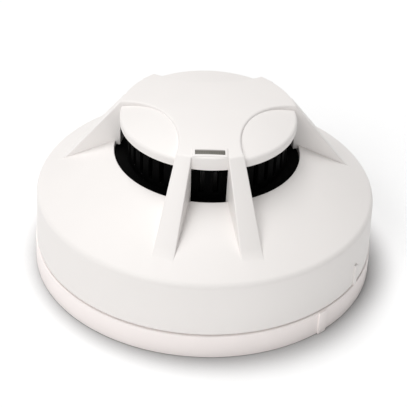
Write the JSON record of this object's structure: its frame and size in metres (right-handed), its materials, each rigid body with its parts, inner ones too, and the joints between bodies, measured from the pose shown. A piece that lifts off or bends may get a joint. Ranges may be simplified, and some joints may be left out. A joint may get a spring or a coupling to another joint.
{
  "type": "point heat detector on a twist-lock base",
  "caption": "Round ceiling heat detector: a plug-in head with a vented sensing chamber and indicator, twist-locked to a wired mounting base.",
  "frame": {"origin": "centre of the mounting base's back face", "axes": "+Z out of the base towards the cap, -Y towards the arm with the indicator"},
  "size_m": [0.1006, 0.1006, 0.053],
  "materials": {
    "cover_plastic": "fine moulded grain, satin",
    "base_plastic": "fine moulded grain, satin",
    "black_plastic": "matte",
    "seal_rubber": "matte",
    "contact_metal": "nickel-plated, rolled",
    "steel": "zinc-plated",
    "board": "solder resist",
    "chip_black": "moulded epoxy",
    "led_red": "clear tinted",
    "lens_grey": "smoky, clear moulded",
    "varistor_blue": "dipped epoxy",
    "capacitor_sleeve": "shrunk sleeve",
    "film_red": "dipped epoxy",
    "diode_glass": "glass bead",
    "reed_glass": "sealed glass tube",
    "thermistor_epoxy": "dipped epoxy",
    "label": "blank foil"
  },
  "bodies": {
    "base": {"mounting_base": "base_plastic", "contact_line_in": "contact_metal", "contact_line_out": "contact_metal", "contact_common": "contact_metal", "contact_remote": "contact_metal", "contact_rivets": "steel", "clamp_plates": "steel", "terminal_screws": "steel"},
    "seal": {"seal_ring": "seal_rubber"},
    "head": {"outer_cover": "cover_plastic", "head_backplate": "cover_plastic", "pin_line_in": "contact_metal", "pin_line_out": "contact_metal", "pin_common": "contact_metal", "pin_remote": "contact_metal", "rating_label": "label", "circuit_board": "board", "cover_screws": "steel", "board_screws": "steel", "chamber_base": "black_plastic", "sensor_guard": "black_plastic", "thermistor_mast": "black_plastic", "thermistor_leads": "steel", "thermistor_bead": "thermistor_epoxy", "alarm_led": "led_red", "light_pipe": "lens_grey", "microcontroller": "chip_black", "bridge_rectifier": "chip_black", "surge_varistor": "varistor_blue", "capacitors": "capacitor_sleeve", "film_capacitor": "film_red", "resistors": "chip_black", "diodes": "diode_glass", "reed_switch": "reed_glass"}
  },
  "joints": [
    {"name": "head_lift", "type": "slide", "parent": "base", "child": "seal", "axis": [0, 0, 1], "range_m": [0, 0.025]},
    {"name": "head_twist", "type": "hinge", "parent": "seal", "child": "head", "pos_m": [0, 0, 0.008], "axis": [0, 0, 1], "range_deg": [-18.6, 0]}
  ]
}
